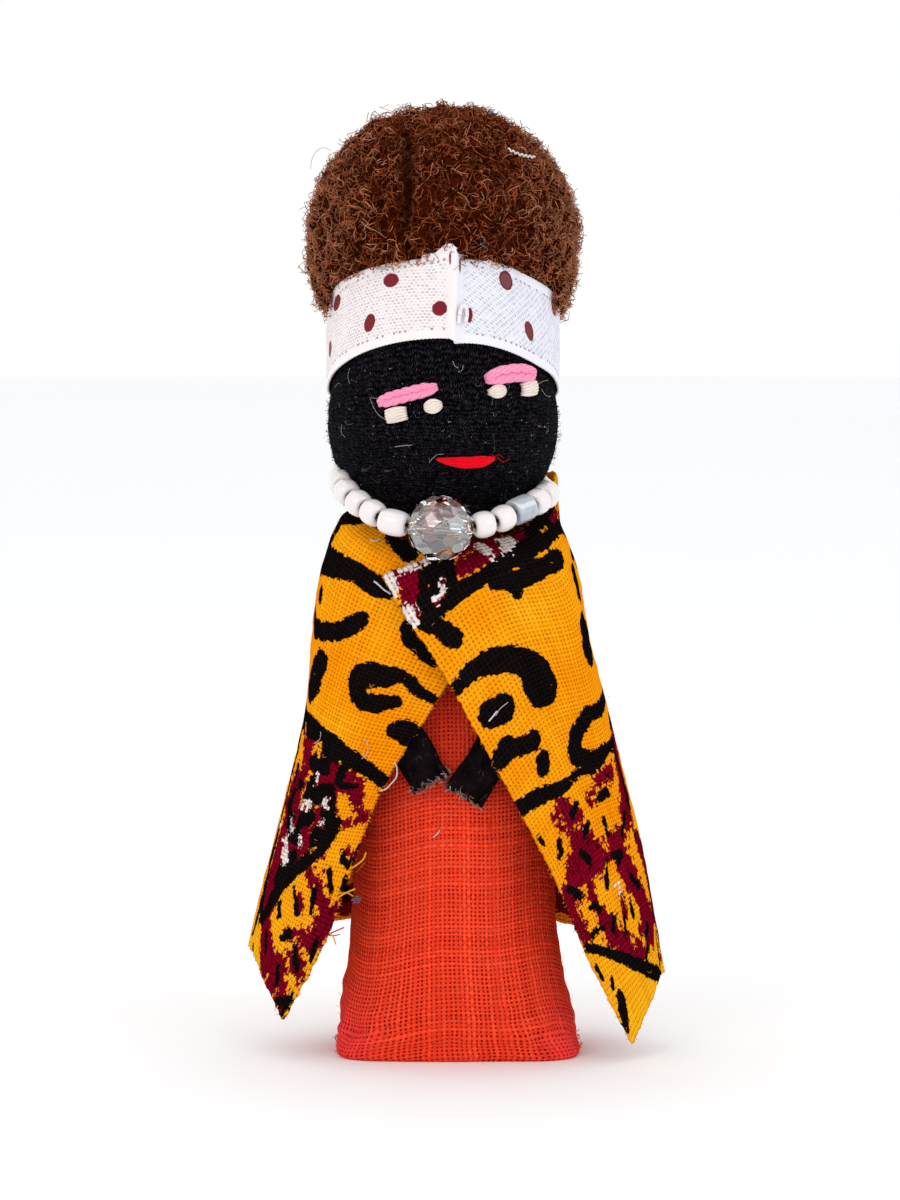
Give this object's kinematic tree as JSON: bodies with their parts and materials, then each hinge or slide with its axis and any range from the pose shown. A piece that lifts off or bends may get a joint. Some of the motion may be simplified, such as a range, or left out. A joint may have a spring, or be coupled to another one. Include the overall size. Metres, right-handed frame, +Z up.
{
  "type": "worry doll",
  "caption": "Small standing cloth doll with a fleece hair puff, dotted ribbon headband, bead necklace with a faceted crystal, printed cotton shawl and a red cloth body.",
  "frame": {"origin": "on the floor under the middle of the doll's bounding box", "axes": "+Z up through the doll, -Y out of its face, +X to the right of a viewer facing it"},
  "size_m": [0.0635, 0.0458, 0.1428],
  "materials": {
    "dress_cloth": "matte",
    "head_knit": "matte",
    "hair_fleece": "matte",
    "ribbon": "matte",
    "print_cloth": "matte",
    "arm_strip": "satin",
    "clear_crystal": "polished",
    "white_bead": "gloss",
    "grey_bead": "gloss",
    "black_thread": "matte",
    "pink_thread": "satin",
    "ivory_thread": "satin",
    "red_thread": "satin"
  },
  "bodies": {
    "root": {"body": "dress_cloth", "head": "head_knit", "headband": "ribbon", "hair": "hair_fleece", "shawl": "print_cloth", "arm_left": "arm_strip", "arm_right": "arm_strip", "brow_left": "pink_thread", "brow_right": "pink_thread", "eye_left_outer": "ivory_thread", "eye_left_inner": "ivory_thread", "eye_right_inner": "ivory_thread", "eye_right_outer": "ivory_thread", "mouth": "red_thread", "crystal": "clear_crystal", "bead_long": "white_bead", "bead_01": "white_bead", "bead_02": "white_bead", "bead_grey": "grey_bead", "bead_03": "white_bead", "bead_04": "white_bead", "bead_05": "white_bead", "bead_06": "white_bead", "bead_07": "white_bead", "bead_08": "white_bead", "bead_09": "white_bead", "bead_10": "white_bead", "bead_11": "white_bead", "bead_12": "white_bead", "bead_13": "white_bead", "bead_14": "white_bead", "bead_15": "white_bead", "bead_16": "white_bead", "bead_17": "white_bead", "bead_18": "white_bead", "bead_19": "white_bead", "bead_20": "white_bead", "bead_21": "white_bead", "bead_22": "white_bead", "bead_23": "white_bead", "bead_24": "white_bead", "bead_25": "white_bead", "bead_26": "white_bead", "necklace_thread": "black_thread"}
  },
  "joints": []
}
